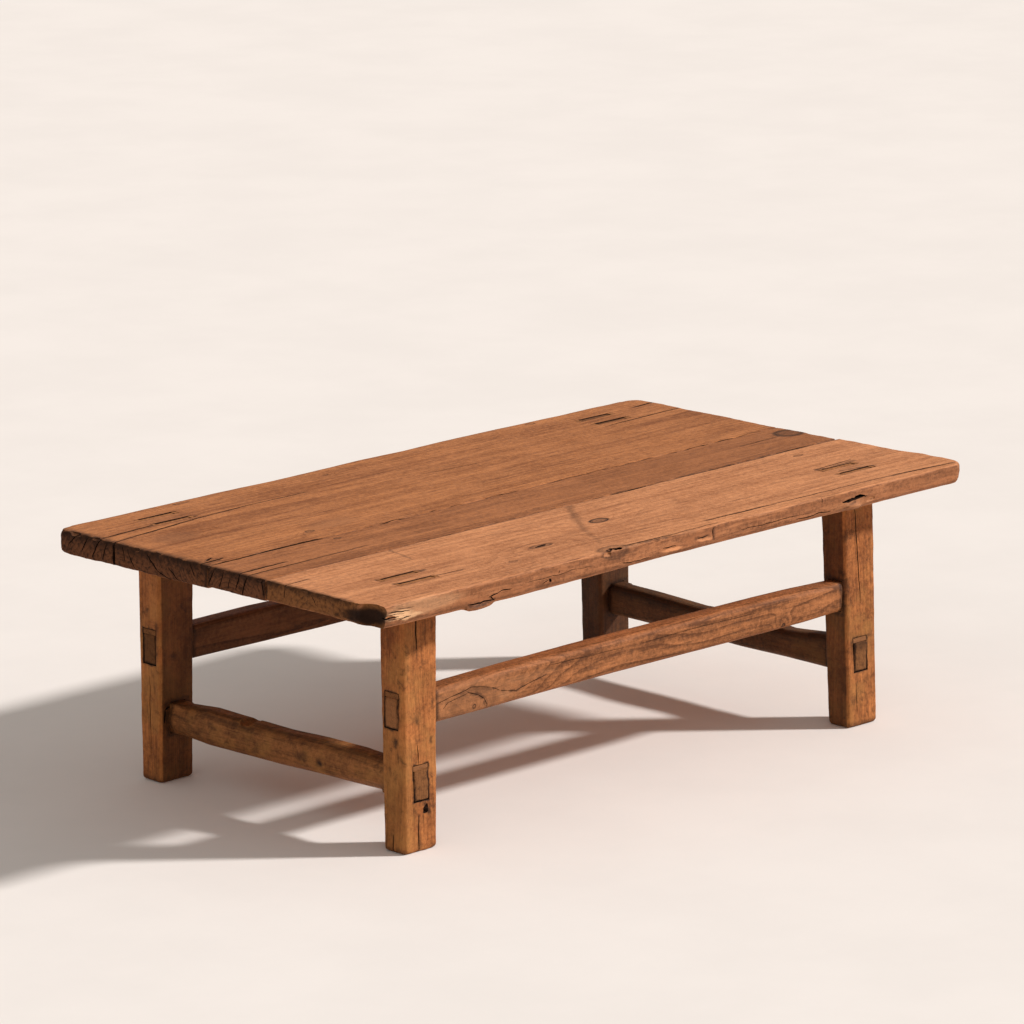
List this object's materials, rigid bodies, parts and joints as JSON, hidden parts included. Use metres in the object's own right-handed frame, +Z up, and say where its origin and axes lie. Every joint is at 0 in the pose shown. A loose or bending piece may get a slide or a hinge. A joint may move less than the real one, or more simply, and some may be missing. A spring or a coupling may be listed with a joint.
{
  "type": "coffee table",
  "caption": "Low rectangular coffee table of aged elm: plank top on leaning legs, tied by stretchers with wedged through-tenons.",
  "frame": {"origin": "on the floor under the middle of the top", "axes": "+X along the length towards the right end, +Y towards the back long side, +Z up"},
  "size_m": [1.246, 0.68, 0.4],
  "materials": {
    "top_wood": "worn, waxed, orange-brown elm",
    "dark_top_wood": "worn, waxed, darker red-brown elm",
    "leg_wood": "worn, waxed, honey-brown elm",
    "stretcher_wood": "worn, waxed, brown elm",
    "wedge_wood": "dark end grain",
    "pin_wood": "bare split bamboo or hardwood"
  },
  "bodies": {
    "root": {"back_board": "top_wood", "middle_board": "dark_top_wood", "front_board": "top_wood", "leg_front_left": "leg_wood", "leg_front_right": "leg_wood", "leg_back_left": "leg_wood", "leg_back_right": "leg_wood", "front_stretcher": "stretcher_wood", "back_stretcher": "stretcher_wood", "left_stretcher": "stretcher_wood", "right_stretcher": "stretcher_wood", "wedge_front_stretcher_front_left": "wedge_wood", "wedge_front_stretcher_front_right": "wedge_wood", "wedge_back_stretcher_back_left": "wedge_wood", "wedge_back_stretcher_back_right": "wedge_wood", "wedge_left_stretcher_front_left": "wedge_wood", "wedge_left_stretcher_back_left": "wedge_wood", "wedge_right_stretcher_front_right": "wedge_wood", "wedge_right_stretcher_back_right": "wedge_wood", "head_wedges_front_left": "wedge_wood", "head_wedges_front_right": "wedge_wood", "head_wedges_back_left": "wedge_wood", "head_wedges_back_right": "wedge_wood", "back_seam_pins": "pin_wood", "front_seam_pins": "pin_wood"}
  },
  "joints": []
}
